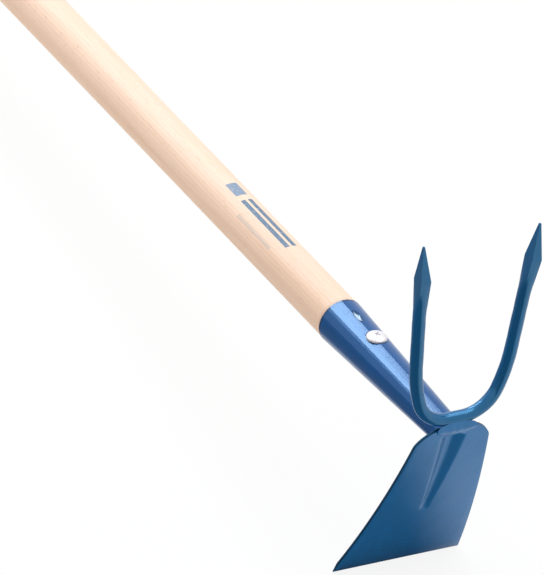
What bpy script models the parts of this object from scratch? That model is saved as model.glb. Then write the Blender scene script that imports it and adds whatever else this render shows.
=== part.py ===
"""Two-prong hoe: wooden shaft, tapered socket, flared blade and a two-point fork.

Every piece is built in the head frame, in metres. X runs across the tool, Y runs along the
shaft away from the head, and Z points to the fork side. The head frame hangs on one empty that
tips the tool into its rest pose: cutting edge and shaft butt on the ground, fork up.
"""
import math

import bmesh
import bpy
from mathutils import Matrix, Vector

OBJECT_NAME = "two_prong_hoe"

# Clearance between pieces that touch
GAP = 0.0003

# Shaft
SHAFT_DIAMETER = 0.030
SHAFT_END_FROM_HEAD = 1.345
SHAFT_BUTT_FLAT_DIAMETER = 0.016
SHAFT_BUTT_DOME_LENGTH = 0.008
SPIGOT_END_FROM_HEAD = 0.045
SPIGOT_CHAMFER = 0.0015
SHAFT_SEGMENTS = 40

# Socket
SOCKET_LENGTH = 0.139
SOCKET_MOUTH_RADIUS = 0.0154
SOCKET_HEAD_RADIUS = 0.0095
SOCKET_WALL = 0.0015
SOCKET_RIM_ROUNDING = 0.0004
SOCKET_SEAM_WIDTH = 0.0008
# Extra clearance of the socket's cut end over the creases of the blade's ridge
SOCKET_END_MARGIN = 0.00012
SOCKET_SEGMENTS = 56
NICK_FROM_MOUTH = 0.0182
NICK_LENGTH = 0.0128
NICK_WIDTH = 0.0046
NICK_DEPTH = 0.0011
# The nick's cutter is an ellipsoid this much higher than the nick is deep
NICK_CUTTER_RISE = 0.00045

# Screw through the socket
SCREW_FROM_MOUTH = 0.0415
SCREW_HEAD_DIAMETER = 0.0134
SCREW_HEAD_HEIGHT = 0.0029
SCREW_HEAD_RIM_HEIGHT = 0.0007
SCREW_SHANK_DIAMETER = 0.0048
SCREW_SHANK_LENGTH = 0.020
SCREW_POINT_LENGTH = 0.004
SCREW_SEAT_DEPTH = 0.0009
SCREW_SLOT_LENGTH = 0.0044
SCREW_SLOT_WIDTH = 0.0008
SCREW_SLOT_DEPTH = 0.0010
SCREW_SEGMENTS = 28

# Blade: distances t are measured down the outer face from the socket axis level
BLADE_THICKNESS = 0.002
BLADE_FACE_Y = 0.0005
BLADE_FACE_Z = 0.0012
BLADE_HEIGHT_BELOW = 0.1232
BLADE_LEAN_TOP = math.radians(13.9)
BLADE_LEAN_GAIN = math.radians(12.0)
BLADE_EDGE_WIDTH = 0.0892
BLADE_SHOULDER_WIDTH = 0.0532
BLADE_TOP_WIDTH = 0.024
BLADE_SHOULDER_DROP = 0.01355
BLADE_SHOULDER_POWER = 1.5
BLADE_GRIND_HEIGHT = 0.007
# Quarter turn steps of the shoulder's curve, closer together where it bends most
BLADE_SHOULDER_STEPS = (0, 14, 27, 39, 51, 64, 77, 90)
BLADE_EDGE_THICKNESS_FACTOR = 0.3
BLADE_RIM_ROUNDING = 0.0003

# Groove pressed into the blade's outer face, a ridge on its inner face
GROOVE_TOP_HALF_WIDTH = 0.0103
GROOVE_END_HALF_WIDTH = 0.0042
GROOVE_DEPTH = 0.0035
GROOVE_END_DEPTH = 0.0013
GROOVE_START = -0.0022
GROOVE_MIDDLE = -0.0006
GROOVE_FULL = 0.0014
GROOVE_TAPER_END = 0.0610
GROOVE_END = 0.0700

# Fork
BAR_DIAMETER = 0.0085
FORK_FOOT_Y = 0.002
FORK_FLAT_HALF = 0.0048
FORK_TIGHT_RADIUS = 0.0242
FORK_TIGHT_TURN = math.radians(70.0)
FORK_WIDE_RADIUS = 0.108
FORK_TOTAL_TURN = math.radians(85.2)
FORK_RISE = 0.1316
FORK_TILT = math.radians(0.5)
# The forged points are four-sided, and their front faces stand further out than their back faces
POINT_LENGTH = 0.0235
POINT_HALF_WIDTH = 0.0035
POINT_HALF_DEPTH = 0.0045
POINT_FORWARD = 0.0014
POINT_TIP_FORWARD = 0.0006
POINT_FLARE_LENGTH = 0.027
POINT_TIP_FACTOR = 0.15
BAR_SEGMENTS = 16

# Weld beads
BEAD_HALF_LENGTH = 0.0140
BEAD_THICKNESS = 0.0026
BEAD_RIPPLE = 0.0001
# Outer face of the front bead: share of the way up to the blade's top and share of its thickness
BEAD_PROFILE = ((0.0, 0.2), (0.2, 0.34), (0.45, 0.57), (0.72, 0.81), (1.0, 1.0))
# Share of its thickness at which the point lies that the bead's ends shrink to
BEAD_ROOT = 0.7
# Where the bead's section follows the bar, in degrees round the bar, and how far its ends shrink
BEAD_CONTACT_ANGLES = (186, 200, 215, 230)
BEAD_END_SHRINK = 0.25
RING_BEAD_RADIUS = 0.0017
RING_BEAD_HALF_TURN = math.radians(122.0)
RING_BEAD_PLATE_MARGIN = 0.0002

CUTTER_MARGIN = 0.002


def clear_scene():
    for obj in list(bpy.data.objects):
        bpy.data.objects.remove(obj, do_unlink=True)


def new_collection(name):
    collection = bpy.data.collections.new(name)
    bpy.context.scene.collection.children.link(collection)
    return collection


def new_material(name, colour, roughness, metallic):
    material = bpy.data.materials.new(name)
    material.use_nodes = True
    shader = material.node_tree.nodes["Principled BSDF"]
    shader.inputs["Base Color"].default_value = (*colour, 1.0)
    shader.inputs["Roughness"].default_value = roughness
    shader.inputs["Metallic"].default_value = metallic
    material.diffuse_color = (*colour, 1.0)
    return material


def add_object(name, data, collection, parent, material=None, smooth_angle=35.0):
    obj = bpy.data.objects.new(name, data)
    collection.objects.link(obj)
    obj.parent = parent
    if material is not None:
        data.materials.append(material)
    if isinstance(data, bpy.types.Mesh) and smooth_angle:
        data.shade_smooth()
        data.set_sharp_from_angle(angle=math.radians(smooth_angle))
    return obj


def mesh_from_bmesh(name, bm):
    bmesh.ops.recalc_face_normals(bm, faces=bm.faces)
    mesh = bpy.data.meshes.new(name)
    bm.to_mesh(mesh)
    bm.free()
    return mesh


def turned(name, profile, closed, segments, collection, parent, material):
    """Turn a profile of (radius, height) points about the local Z axis."""
    mesh = bpy.data.meshes.new(name)
    verts = [(radius, 0.0, height) for radius, height in profile]
    edges = [(i, i + 1) for i in range(len(verts) - 1)]
    if closed:
        edges.append((len(verts) - 1, 0))
    mesh.from_pydata(verts, edges, [])
    obj = add_object(name, mesh, collection, parent, material, smooth_angle=0.0)
    screw = obj.modifiers.new("turn", "SCREW")
    screw.axis = "Z"
    screw.angle = math.tau
    screw.steps = segments
    screw.render_steps = segments
    screw.use_merge_vertices = True
    screw.merge_threshold = 0.00001
    screw.use_normal_calculate = True
    screw.use_smooth_shade = True
    return obj


def cut(obj, cutter):
    boolean = obj.modifiers.new("cut_" + cutter.name, "BOOLEAN")
    boolean.operation = "DIFFERENCE"
    boolean.solver = "EXACT"
    boolean.object = cutter


def as_cutter(obj):
    obj.hide_render = True
    obj.display_type = "WIRE"
    return obj


def box_cutter(name, size, matrix, collection, parent):
    bm = bmesh.new()
    bmesh.ops.create_cube(bm, size=1.0, matrix=Matrix.Diagonal((*size, 1.0)))
    obj = as_cutter(add_object(name, mesh_from_bmesh(name, bm), collection, parent, smooth_angle=0.0))
    obj.matrix_local = matrix
    return obj


def cylinder_cutter(name, radius, height, matrix, collection, parent, segments=28):
    bm = bmesh.new()
    bmesh.ops.create_cone(bm, cap_ends=True, segments=segments, radius1=radius, radius2=radius, depth=height)
    obj = as_cutter(add_object(name, mesh_from_bmesh(name, bm), collection, parent, smooth_angle=0.0))
    obj.matrix_local = matrix
    return obj


def socket_outer_radius(y):
    """Outer radius of the socket cone at a distance y from the head."""
    return SOCKET_HEAD_RADIUS + (SOCKET_MOUTH_RADIUS - SOCKET_HEAD_RADIUS) * y / SOCKET_LENGTH


def fork_foot_height():
    """Height of the bar's centre over the socket axis where it lies on the socket's end."""
    return socket_outer_radius(FORK_FOOT_Y) + GAP + BAR_DIAMETER / 2


def blade_height_above():
    """How far the blade reaches above the level t = 0, up to the underside of the bar."""
    room = fork_foot_height() - BAR_DIAMETER / 2 - GAP - BLADE_FACE_Z
    return (room - BLADE_THICKNESS * math.sin(BLADE_LEAN_TOP)) / math.cos(BLADE_LEAN_TOP)


def blade_lean(t):
    return BLADE_LEAN_TOP + BLADE_LEAN_GAIN * t / BLADE_HEIGHT_BELOW


def blade_point(t, out=0.0):
    """Point (y, z) at distance t down the outer face, moved outward by out."""
    curvature = BLADE_LEAN_GAIN / BLADE_HEIGHT_BELOW
    lean = blade_lean(t)
    y = BLADE_FACE_Y + (math.cos(BLADE_LEAN_TOP) - math.cos(lean)) / curvature
    z = BLADE_FACE_Z - (math.sin(lean) - math.sin(BLADE_LEAN_TOP)) / curvature
    return y - out * math.cos(lean), z - out * math.sin(lean)


def shaft_profile():
    radius = SHAFT_DIAMETER / 2
    flat = SHAFT_BUTT_FLAT_DIAMETER / 2
    top = SHAFT_END_FROM_HEAD
    points = [(0.0, top)]
    dome_steps = 6
    for i in range(dome_steps + 1):
        angle = math.pi / 2 * i / dome_steps
        points.append((flat + (radius - flat) * math.sin(angle),
                       top - SHAFT_BUTT_DOME_LENGTH * (1 - math.cos(angle))))
    shoulder = SOCKET_LENGTH + GAP
    mouth_spigot = SOCKET_MOUTH_RADIUS - SOCKET_WALL - GAP
    points.append((radius, SOCKET_LENGTH + SPIGOT_CHAMFER))
    points.append((radius - GAP, shoulder))
    points.append((mouth_spigot, shoulder))
    end_radius = socket_outer_radius(SPIGOT_END_FROM_HEAD) - SOCKET_WALL - GAP
    points.append((end_radius, SPIGOT_END_FROM_HEAD + SPIGOT_CHAMFER))
    points.append((end_radius - SPIGOT_CHAMFER, SPIGOT_END_FROM_HEAD))
    points.append((0.0, SPIGOT_END_FROM_HEAD))
    return points


def along_shaft():
    """Local Z of a turned piece laid along the head frame's Y axis."""
    return (-math.pi / 2, 0.0, 0.0)


def blade_back_cutter(name, collection, parent):
    """Block that ends a clearance behind the blade's inner face and follows its ridge."""
    bm = bmesh.new()
    half = SOCKET_HEAD_RADIUS + 2 * CUTTER_MARGIN
    columns = 24
    rows = 30
    back = []
    front = []
    for i in range(rows + 1):
        t = BLADE_FACE_Z + half * (2 * i / rows - 1)
        back.append([])
        front.append([])
        for j in range(columns + 1):
            x = half * (2 * j / columns - 1)
            y, z = blade_back_point(x, t, GAP + SOCKET_END_MARGIN)
            back[-1].append(bm.verts.new((x, y, z)))
            y, z = blade_point(t, 2 * half)
            front[-1].append(bm.verts.new((x, y, z)))
    for i in range(rows):
        for j in range(columns):
            for grid in (back, front):
                bm.faces.new((grid[i][j], grid[i][j + 1], grid[i + 1][j + 1], grid[i + 1][j]))
    for i in range(rows):
        for j in (0, columns):
            bm.faces.new((back[i][j], back[i + 1][j], front[i + 1][j], front[i][j]))
    for j in range(columns):
        for i in (0, rows):
            bm.faces.new((back[i][j], back[i][j + 1], front[i][j + 1], front[i][j]))
    return as_cutter(add_object(name, mesh_from_bmesh(name, bm), collection, parent, smooth_angle=0.0))


def socket_profile():
    low = -SOCKET_HEAD_RADIUS
    return [
        (SOCKET_MOUTH_RADIUS - SOCKET_WALL, SOCKET_LENGTH),
        (SOCKET_MOUTH_RADIUS - SOCKET_RIM_ROUNDING, SOCKET_LENGTH),
        (SOCKET_MOUTH_RADIUS, SOCKET_LENGTH - SOCKET_RIM_ROUNDING),
        (socket_outer_radius(low), low),
        (socket_outer_radius(low) - SOCKET_WALL, low),
    ]


def build_socket(collection, cutters, parent, material):
    socket = turned("socket", socket_profile(), True, SOCKET_SEGMENTS, collection, parent, material)
    socket.rotation_euler = along_shaft()

    cut(socket, blade_back_cutter("cut_socket_end", cutters, parent))

    screw_y = SOCKET_LENGTH - SCREW_FROM_MOUTH
    seat = socket_outer_radius(screw_y) - SCREW_SEAT_DEPTH
    seat_height = SCREW_SEAT_DEPTH + CUTTER_MARGIN
    seat_cut = cylinder_cutter("cut_screw_seat", SCREW_HEAD_DIAMETER / 2 + 2 * GAP, seat_height,
                               Matrix.Translation((0.0, screw_y, seat + seat_height / 2)), cutters, parent)
    cut(socket, seat_cut)
    hole_cut = cylinder_cutter("cut_screw_hole", SCREW_SHANK_DIAMETER / 2 + GAP, SOCKET_MOUTH_RADIUS,
                               Matrix.Translation((0.0, screw_y, seat)), cutters, parent)
    cut(socket, hole_cut)

    nick_y = SOCKET_LENGTH - NICK_FROM_MOUTH
    bm = bmesh.new()
    shape = Matrix.Diagonal((NICK_WIDTH / 2, NICK_LENGTH / 2, NICK_DEPTH + NICK_CUTTER_RISE, 1.0))
    bmesh.ops.create_uvsphere(bm, u_segments=20, v_segments=10, radius=1.0, matrix=shape)
    nick = add_object("cut_nick", mesh_from_bmesh("cut_nick", bm), cutters, parent, smooth_angle=0.0)
    nick.location = (0.0, nick_y, socket_outer_radius(nick_y) + NICK_CUTTER_RISE)
    cut(socket, as_cutter(nick))

    # The slit runs from outside the wall to halfway in, so it opens only the underside
    seam_low = -SOCKET_MOUTH_RADIUS - CUTTER_MARGIN
    seam_high = -(SOCKET_HEAD_RADIUS - SOCKET_WALL) / 2
    seam_centre = Vector((0.0, SOCKET_LENGTH / 2, (seam_low + seam_high) / 2))
    seam_size = (SOCKET_SEAM_WIDTH, SOCKET_LENGTH + 2 * SOCKET_MOUTH_RADIUS, seam_high - seam_low)
    cut(socket, box_cutter("cut_seam", seam_size, Matrix.Translation(seam_centre), cutters, parent))
    return socket


def build_handle(collection, cutters, parent, material):
    handle = turned("handle", shaft_profile(), False, SHAFT_SEGMENTS, collection, parent, material)
    handle.rotation_euler = along_shaft()
    screw_y = SOCKET_LENGTH - SCREW_FROM_MOUTH
    seat = socket_outer_radius(screw_y) - SCREW_SEAT_DEPTH
    depth = SCREW_SHANK_LENGTH + 2 * GAP
    pilot = cylinder_cutter("cut_pilot", SCREW_SHANK_DIAMETER / 2 + GAP, depth,
                            Matrix.Translation((0.0, screw_y, seat + GAP - depth / 2)), cutters, parent)
    cut(handle, pilot)
    return handle


def build_screw(collection, cutters, parent, material):
    head = SCREW_HEAD_DIAMETER / 2
    shank = SCREW_SHANK_DIAMETER / 2
    profile = [(0.0, SCREW_HEAD_HEIGHT)]
    dome_steps = 6
    for i in range(1, dome_steps + 1):
        angle = math.pi / 2 * i / dome_steps
        dome = (SCREW_HEAD_HEIGHT - SCREW_HEAD_RIM_HEIGHT) * math.cos(angle)
        profile.append((head * math.sin(angle), SCREW_HEAD_RIM_HEIGHT + dome))
    profile += [
        (head, 0.0),
        (shank, 0.0),
        (shank, SCREW_POINT_LENGTH - SCREW_SHANK_LENGTH),
        (0.0, -SCREW_SHANK_LENGTH),
    ]
    screw = turned("handle_screw", profile, False, SCREW_SEGMENTS, collection, parent, material)
    screw_y = SOCKET_LENGTH - SCREW_FROM_MOUTH
    screw.location = (0.0, screw_y, socket_outer_radius(screw_y) - SCREW_SEAT_DEPTH + GAP)
    height = SCREW_SLOT_DEPTH + CUTTER_MARGIN
    middle = screw.location + Vector((0.0, 0.0, SCREW_HEAD_HEIGHT - SCREW_SLOT_DEPTH + height / 2))
    for index in range(2):
        turn = Matrix.Rotation(math.pi / 4 + index * math.pi / 2, 4, "Z")
        slot = box_cutter("cut_recess_%d" % index, (SCREW_SLOT_LENGTH, SCREW_SLOT_WIDTH, height),
                          Matrix.Translation(middle) @ turn, cutters, parent)
        cut(screw, slot)
    return screw


def blade_half_width(t):
    shoulder_t = BLADE_SHOULDER_DROP - blade_height_above()
    shoulder = BLADE_SHOULDER_WIDTH / 2
    if t >= shoulder_t:
        share = (t - shoulder_t) / (BLADE_HEIGHT_BELOW - shoulder_t)
        return shoulder + (BLADE_EDGE_WIDTH / 2 - shoulder) * share
    rise = (shoulder_t - t) / BLADE_SHOULDER_DROP
    bulge = max(0.0, 1 - rise ** BLADE_SHOULDER_POWER) ** (1 / BLADE_SHOULDER_POWER)
    return BLADE_TOP_WIDTH / 2 + (shoulder - BLADE_TOP_WIDTH / 2) * bulge


def groove_half_width(t):
    share = min(max(t / GROOVE_TAPER_END, 0.0), 1.0)
    return GROOVE_TOP_HALF_WIDTH + (GROOVE_END_HALF_WIDTH - GROOVE_TOP_HALF_WIDTH) * share


def groove_depth(t):
    """Depth of the groove's floor at the distance t."""
    if t <= GROOVE_START or t >= GROOVE_END:
        return 0.0
    if t < GROOVE_FULL:
        share = (t - GROOVE_START) / (GROOVE_FULL - GROOVE_START)
        return GROOVE_DEPTH * (1 - math.cos(share * math.pi)) / 2
    if t <= GROOVE_TAPER_END:
        share = (t - GROOVE_FULL) / (GROOVE_TAPER_END - GROOVE_FULL)
        return GROOVE_DEPTH + (GROOVE_END_DEPTH - GROOVE_DEPTH) * share
    share = (t - GROOVE_TAPER_END) / (GROOVE_END - GROOVE_TAPER_END)
    return GROOVE_END_DEPTH * (1 - share * share)


# Cross-section of the groove: share of its half width and of its depth
GROOVE_SECTION = ((0.0, 1.0), (0.14, 0.98), (0.27, 0.89), (0.42, 0.70),
                  (0.58, 0.46), (0.74, 0.22), (0.86, 0.06), (1.0, 0.0))
# Positions between the groove's edge and the blade's side
FLAT_SHARES = (0.2, 0.45, 0.72, 1.0)


def groove_depth_at(x, t):
    """Depth of the groove at any place on the blade."""
    q = abs(x) / groove_half_width(t)
    for (q0, d0), (q1, d1) in zip(GROOVE_SECTION, GROOVE_SECTION[1:]):
        if q <= q1:
            return groove_depth(t) * (d0 + (d1 - d0) * (q - q0) / (q1 - q0))
    return 0.0


def blade_back_point(x, t, clearance):
    """Point (y, z) off the blade's inner face by a clearance, over the ridge too."""
    step = BLADE_THICKNESS / 4
    slope_x = (groove_depth_at(x + step, t) - groove_depth_at(x - step, t)) / (2 * step)
    slope_t = (groove_depth_at(x, t + step) - groove_depth_at(x, t - step)) / (2 * step)
    thickness = (BLADE_THICKNESS + clearance) * math.sqrt(1 + slope_x ** 2 + slope_t ** 2)
    return blade_point(t, -groove_depth_at(x, t) - thickness)


def blade_back_y(x, z):
    """How far along the shaft the blade's inner face reaches at the place (x, z)."""
    t = BLADE_FACE_Z - z
    for _ in range(8):
        y, reached = blade_back_point(x, t, 0.0)
        t += reached - z
    return y


def blade_rows():
    shoulder_t = BLADE_SHOULDER_DROP - blade_height_above()
    rows = []
    for angle in BLADE_SHOULDER_STEPS:
        rise = math.cos(math.radians(angle)) ** (2 / BLADE_SHOULDER_POWER)
        rows.append(shoulder_t - BLADE_SHOULDER_DROP * rise)
    rows += [GROOVE_START, GROOVE_MIDDLE, GROOVE_FULL]
    rows += [(GROOVE_START + GROOVE_MIDDLE) / 2, (GROOVE_MIDDLE + GROOVE_FULL) / 2]
    count = 8
    rows += [GROOVE_FULL + (GROOVE_TAPER_END - GROOVE_FULL) * i / count for i in range(1, count + 1)]
    rows += [GROOVE_TAPER_END + (GROOVE_END - GROOVE_TAPER_END) * share for share in (0.35, 0.7, 1.0)]
    grind = BLADE_HEIGHT_BELOW - BLADE_GRIND_HEIGHT
    count = 5
    rows += [GROOVE_END + (grind - GROOVE_END) * i / count for i in range(1, count + 1)]
    rows.append(BLADE_HEIGHT_BELOW)
    rows = sorted(rows)
    kept = [rows[0]]
    for row in rows[1:]:
        if row - kept[-1] > GAP:
            kept.append(row)
    return kept


def build_blade(collection, parent, material):
    columns = []
    for share in reversed(FLAT_SHARES):
        columns.append((-1, 1.0, 0.0, share))
    for q, depth in reversed(GROOVE_SECTION[1:]):
        columns.append((-1, q, depth, 0.0))
    for q, depth in GROOVE_SECTION:
        columns.append((1, q, depth, 0.0))
    for share in FLAT_SHARES:
        columns.append((1, 1.0, 0.0, share))
    rows = blade_rows()
    verts = []
    for t in rows:
        width = blade_half_width(t)
        groove = groove_half_width(t)
        depth = groove_depth(t)
        for sign, q, section, share in columns:
            x = sign * (groove * q + (width - groove) * share)
            y, z = blade_point(t, -depth * section)
            verts.append((x, y, z))
    wide = len(columns)
    faces = []
    for i in range(len(rows) - 1):
        for j in range(wide - 1):
            a = i * wide + j
            faces.append((a, a + wide, a + wide + 1, a + 1))
    mesh = bpy.data.meshes.new("blade")
    mesh.from_pydata(verts, [], faces)
    obj = add_object("blade", mesh, collection, parent, material, smooth_angle=28.0)
    group = obj.vertex_groups.new(name="thickness")
    last = len(rows) - 1
    for i in range(len(rows)):
        weight = 0.0 if i == last else 1.0
        group.add(list(range(i * wide, (i + 1) * wide)), weight, "REPLACE")
    shell = obj.modifiers.new("thickness", "SOLIDIFY")
    shell.thickness = BLADE_THICKNESS
    shell.offset = -1.0
    shell.use_even_offset = True
    shell.use_rim = True
    shell.vertex_group = "thickness"
    shell.thickness_vertex_group = BLADE_EDGE_THICKNESS_FACTOR
    rounding = obj.modifiers.new("rounding", "BEVEL")
    rounding.width = BLADE_RIM_ROUNDING
    rounding.segments = 1
    rounding.limit_method = "ANGLE"
    rounding.angle_limit = math.radians(55.0)
    return obj


def fork_half_path():
    """Centre line of one prong: (x, rise over the socket axis, turn from level) from the middle out."""
    foot = fork_foot_height()
    path = [(0.0, foot, 0.0), (FORK_FLAT_HALF, foot, 0.0)]
    tight_steps = 12
    for i in range(1, tight_steps + 1):
        turn = FORK_TIGHT_TURN * i / tight_steps
        path.append((FORK_FLAT_HALF + FORK_TIGHT_RADIUS * math.sin(turn),
                     foot + FORK_TIGHT_RADIUS * (1 - math.cos(turn)), turn))
    x0, z0, _ = path[-1]
    wide_steps = 4
    for i in range(1, wide_steps + 1):
        turn = FORK_TIGHT_TURN + (FORK_TOTAL_TURN - FORK_TIGHT_TURN) * i / wide_steps
        path.append((x0 + FORK_WIDE_RADIUS * (math.sin(turn) - math.sin(FORK_TIGHT_TURN)),
                     z0 + FORK_WIDE_RADIUS * (math.cos(FORK_TIGHT_TURN) - math.cos(turn)), turn))
    return path


def bar_section(blend, scale, forward):
    """Ring of (in-plane, through-plane) offsets between a round bar and a forged square."""
    ring = []
    for k in range(BAR_SEGMENTS):
        angle = math.tau * k / BAR_SEGMENTS
        u = math.cos(angle)
        v = math.sin(angle)
        reach = max(abs(u), abs(v))
        round_u = BAR_DIAMETER / 2 * u
        round_v = BAR_DIAMETER / 2 * v
        square_u = POINT_HALF_WIDTH * u / reach
        square_v = POINT_HALF_DEPTH * v / reach
        ring.append((scale * (round_u + (square_u - round_u) * blend),
                     scale * (round_v + (square_v - round_v) * blend) - forward))
    return ring


def fork_rings():
    """Rings from the middle to the tip: centre x, rise, turn, share of square, scale and forward shift."""
    rings = [(x, rise, turn, 0.0, 1.0, 0.0) for x, rise, turn in fork_half_path()]
    x0, z0, turn = rings[-1][:3]
    tip_rise = fork_foot_height() + FORK_RISE
    straight = (tip_rise - z0) / math.sin(turn)
    shoulder = straight - POINT_LENGTH
    steps = [(shoulder - POINT_FLARE_LENGTH * (1 - share), share, 1.0, POINT_FORWARD * share)
             for share in (0.0, 0.35, 0.7, 0.9, 1.0)]
    steps.append((straight, 1.0, POINT_TIP_FACTOR, POINT_TIP_FORWARD))
    for distance, blend, scale, forward in steps:
        rings.append((x0 + distance * math.cos(turn), z0 + distance * math.sin(turn),
                      turn, blend, scale, forward))
    return rings


def build_fork(collection, parent, material):
    half = fork_rings()
    full = [(-x, rise, -turn, *rest) for x, rise, turn, *rest in reversed(half[1:])] + half
    bm = bmesh.new()
    rows = []
    for x, rise, turn, blend, scale, forward in full:
        across = Vector((-math.sin(turn), 0.0, math.cos(turn)))
        through = Vector((0.0, 1.0, 0.0))
        centre = Vector((x, 0.0, rise))
        rows.append([bm.verts.new(centre + across * u + through * v)
                     for u, v in bar_section(blend, scale, forward)])
    for first, second in zip(rows, rows[1:]):
        for k in range(BAR_SEGMENTS):
            n = (k + 1) % BAR_SEGMENTS
            bm.faces.new((first[k], first[n], second[n], second[k]))
    bm.faces.new(rows[0])
    bm.faces.new(rows[-1])
    foot = Matrix.Translation((0.0, 0.0, fork_foot_height()))
    lean = foot @ Matrix.Rotation(-FORK_TILT, 4, "X") @ foot.inverted()
    place = Matrix.Translation((0.0, FORK_FOOT_Y, 0.0))
    bmesh.ops.transform(bm, matrix=place @ lean, verts=bm.verts)
    return add_object("fork", mesh_from_bmesh("fork", bm), collection, parent, material, smooth_angle=32.0)


def bar_at(x):
    """Centre height and steepness of the fork bar over the point x of its tight bend."""
    reach = max(0.0, abs(x) - FORK_FLAT_HALF)
    turn = math.asin(min(1.0, reach / FORK_TIGHT_RADIUS))
    return fork_foot_height() + FORK_TIGHT_RADIUS * (1 - math.cos(turn)), turn


def build_front_bead(collection, parent, material):
    """Bead along the corner between the bar and the blade's outer face."""
    above = blade_height_above()
    low = GROOVE_START - 2 * GAP
    root_y, root_z = blade_point(-above, BEAD_THICKNESS * BEAD_ROOT)
    bm = bmesh.new()
    rows = []
    steps = 20
    for i in range(steps + 1):
        x = BEAD_HALF_LENGTH * (2 * i / steps - 1)
        centre_z, turn = bar_at(x)
        up = (BAR_DIAMETER / 2) / math.cos(turn) + GAP
        out = BAR_DIAMETER / 2 + GAP
        ring = []
        for angle in BEAD_CONTACT_ANGLES:
            a = math.radians(angle)
            ring.append((FORK_FOOT_Y + out * math.cos(a), centre_z + up * math.sin(a)))
        ring.append(blade_point(-above - GAP, GAP))
        ring.append(blade_point(-above + GAP, GAP))
        ring.append(blade_point((low - above) / 2, GAP))
        ring.append(blade_point(low, GAP))
        ripple = BEAD_RIPPLE * math.cos(i * math.pi)
        for height, thickness in BEAD_PROFILE:
            ring.append(blade_point(low + (-above - low) * height, (BEAD_THICKNESS + ripple) * thickness))
        share = abs(x) / BEAD_HALF_LENGTH
        shrink = max(BEAD_END_SHRINK, math.sqrt(max(0.0, 1 - share ** 4)))
        rows.append([bm.verts.new((x, root_y + (y - root_y) * shrink, root_z + (z - root_z) * shrink))
                     for y, z in ring])
    count = len(rows[0])
    for first, second in zip(rows, rows[1:]):
        for k in range(count):
            n = (k + 1) % count
            bm.faces.new((first[k], first[n], second[n], second[k]))
    bm.faces.new(rows[0])
    bm.faces.new(rows[-1])
    return add_object("weld_front", mesh_from_bmesh("weld_front", bm), collection, parent, material,
                      smooth_angle=50.0)


def ball_rest_y(x, z, radius):
    """Where a ball of this radius comes to rest behind the blade at the place (x, z)."""
    y = blade_back_y(x, z) + radius
    turns = 12
    for share in (0.35, 0.65, 0.88, 1.0):
        away = radius * share
        for k in range(turns):
            angle = math.tau * k / turns
            there = blade_back_y(x + away * math.cos(angle), z + away * math.sin(angle))
            y = max(y, there + math.sqrt(radius ** 2 - away ** 2))
    return y


def build_ring_bead(collection, parent, material):
    """Bead in the corner between the socket and the blade's inner face."""
    steps = 36
    reach = RING_BEAD_RADIUS + GAP
    points = []
    for i in range(steps + 1):
        angle = RING_BEAD_HALF_TURN * (2 * i / steps - 1)
        radius = SOCKET_HEAD_RADIUS + reach
        for _ in range(3):
            x = radius * math.sin(angle)
            z = -radius * math.cos(angle)
            y = ball_rest_y(x, z, reach + RING_BEAD_PLATE_MARGIN)
            radius = socket_outer_radius(y) + reach
        points.append((radius * math.sin(angle), y, -radius * math.cos(angle)))
    curve = bpy.data.curves.new("weld_back", "CURVE")
    curve.dimensions = "3D"
    curve.bevel_depth = RING_BEAD_RADIUS
    curve.bevel_resolution = 3
    curve.use_fill_caps = True
    spline = curve.splines.new("POLY")
    spline.points.add(len(points) - 1)
    for point, position in zip(spline.points, points):
        point.co = (*position, 1.0)
    return add_object("weld_back", curve, collection, parent, material)


def rest_tilt():
    """Slope of the line from the cutting edge to the underside of the shaft's butt."""
    edge_y, edge_z = blade_point(BLADE_HEIGHT_BELOW)
    butt_y = SHAFT_END_FROM_HEAD - SHAFT_BUTT_DOME_LENGTH
    butt_z = -SHAFT_DIAMETER / 2
    return math.atan2(butt_z - edge_z, butt_y - edge_y)


def settle(parent, collection):
    """Move the head frame so the box around the pieces is centred on Z and stands on z = 0."""
    parent.rotation_euler = (-rest_tilt(), 0.0, 0.0)
    bpy.context.view_layer.update()
    graph = bpy.context.evaluated_depsgraph_get()
    low = Vector((1e9, 1e9, 1e9))
    high = -low
    for obj in collection.objects:
        if obj.type == "EMPTY":
            continue
        evaluated = obj.evaluated_get(graph)
        mesh = evaluated.to_mesh()
        for vert in mesh.vertices:
            world = evaluated.matrix_world @ vert.co
            low = Vector(map(min, low, world))
            high = Vector(map(max, high, world))
        evaluated.to_mesh_clear()
    parent.location = (-(low.x + high.x) / 2, -(low.y + high.y) / 2, -low.z)


def main():
    clear_scene()
    collection = new_collection(OBJECT_NAME)
    cutters = new_collection(OBJECT_NAME + "_cutters")
    frame = bpy.data.objects.new("head_frame", None)
    collection.objects.link(frame)

    wood = new_material("wood", (0.80, 0.62, 0.44), 0.55, 0.0)
    socket_paint = new_material("socket_paint", (0.02, 0.12, 0.32), 0.30, 0.0)
    fork_paint = new_material("fork_paint", (0.02, 0.12, 0.32), 0.30, 0.0)
    blade_paint = new_material("blade_paint", (0.03, 0.13, 0.33), 0.32, 0.0)
    front_paint = new_material("weld_front_paint", (0.02, 0.12, 0.32), 0.35, 0.0)
    back_paint = new_material("weld_back_paint", (0.02, 0.12, 0.32), 0.35, 0.0)
    zinc = new_material("zinc", (0.80, 0.80, 0.78), 0.30, 1.0)

    build_handle(collection, cutters, frame, wood)
    build_socket(collection, cutters, frame, socket_paint)
    build_screw(collection, cutters, frame, zinc)
    build_blade(collection, frame, blade_paint)
    build_fork(collection, frame, fork_paint)
    build_front_bead(collection, frame, front_paint)
    build_ring_bead(collection, frame, back_paint)
    settle(frame, collection)


main()
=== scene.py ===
import math

import bmesh
import bpy
from mathutils import Matrix, Vector


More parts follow.
